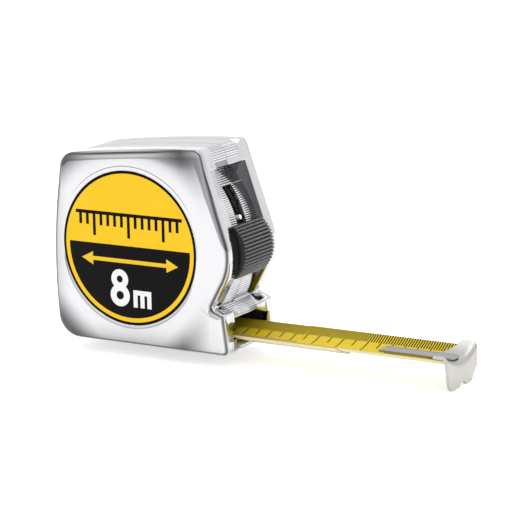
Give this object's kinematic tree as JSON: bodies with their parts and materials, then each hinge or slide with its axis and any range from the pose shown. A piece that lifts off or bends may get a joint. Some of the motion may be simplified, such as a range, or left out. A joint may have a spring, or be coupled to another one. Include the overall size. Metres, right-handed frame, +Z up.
{
  "type": "tape measure",
  "caption": "Chromed pocket tape measure with a sliding thumb lock, a curled yellow steel tape part way out, a free-play end hook and a belt clip.",
  "frame": {"origin": "on the flat base, on the middle plane, straight below the reel axis", "axes": "+X along the tape towards the hook, +Y across the tape towards the belt clip, +Z up"},
  "size_m": [0.1603, 0.0449, 0.0793],
  "materials": {
    "chromed_shell": "bright chrome plating on moulded plastic",
    "label": "printed yellow and black film with a clear coat",
    "zinc_post": "turned and zinc plated",
    "zinc_screws": "zinc plated",
    "white_nylon": "moulded nylon",
    "spring_steel": "blued spring steel",
    "yellow_tape": "printed lacquer under a clear film, cream on the underside",
    "nickel_hook": "nickel plated, satin",
    "grey_cover": "matt grey steel",
    "steel_rivets": "plain steel",
    "black_grip": "moulded, ribbed grip",
    "black_nylon": "moulded nylon",
    "brake_rubber": "moulded rubber",
    "black_rubber": "moulded rubber",
    "chromed_clip": "bright plated spring steel"
  },
  "bodies": {
    "case": {"case_left": "chromed_shell", "case_right": "chromed_shell", "label_left": "label", "label_right": "label", "centre_post": "zinc_post", "post_screw": "zinc_screws", "case_screws": "zinc_screws", "thrust_washers": "white_nylon", "mouth_liner": "black_rubber", "belt_clip": "chromed_clip", "clip_screw": "zinc_screws"},
    "reel": {"reel_drum": "white_nylon", "reel_cover": "white_nylon", "power_spring": "spring_steel", "spring_rivet": "zinc_screws", "tape_coil": "yellow_tape"},
    "tape_end": {"tape_outer": "yellow_tape", "cover_strip": "grey_cover", "hook_rivets": "steel_rivets"},
    "tape_feed": {"tape_inner": "yellow_tape"},
    "hook": {"hook": "nickel_hook"},
    "lock": {"lock_slider": "black_grip", "lock_carrier": "black_nylon", "lock_pin": "white_nylon", "brake_strip": "black_nylon", "brake_pad": "brake_rubber"}
  },
  "joints": [
    {"name": "reel_spin", "type": "hinge", "parent": "case", "child": "reel", "pos_m": [0, 0, 0.03691], "axis": [0, -1, 0], "range_deg": [-165, 79]},
    {"name": "tape_slide", "type": "slide", "parent": "case", "child": "tape_end", "axis": [1, 0, 0], "range_m": [-0.0836, 0.0402]},
    {"name": "tape_feed", "type": "slide", "parent": "case", "child": "tape_feed", "axis": [1, 0, 0], "range_m": [-0.0419, 0.0202]},
    {"name": "hook_play", "type": "slide", "parent": "tape_end", "child": "hook", "axis": [1, 0, 0], "range_m": [0, 0.0011]},
    {"name": "lock_slide", "type": "hinge", "parent": "case", "child": "lock", "pos_m": [0, 0, 0.03691], "axis": [0, -1, 0], "range_deg": [0, 17.5]}
  ],
  "couplings": [
    {"joint": "tape_slide", "follows": "reel_spin", "m_per_rad": 0.028994},
    {"joint": "tape_feed", "follows": "reel_spin", "m_per_rad": 0.014497}
  ]
}
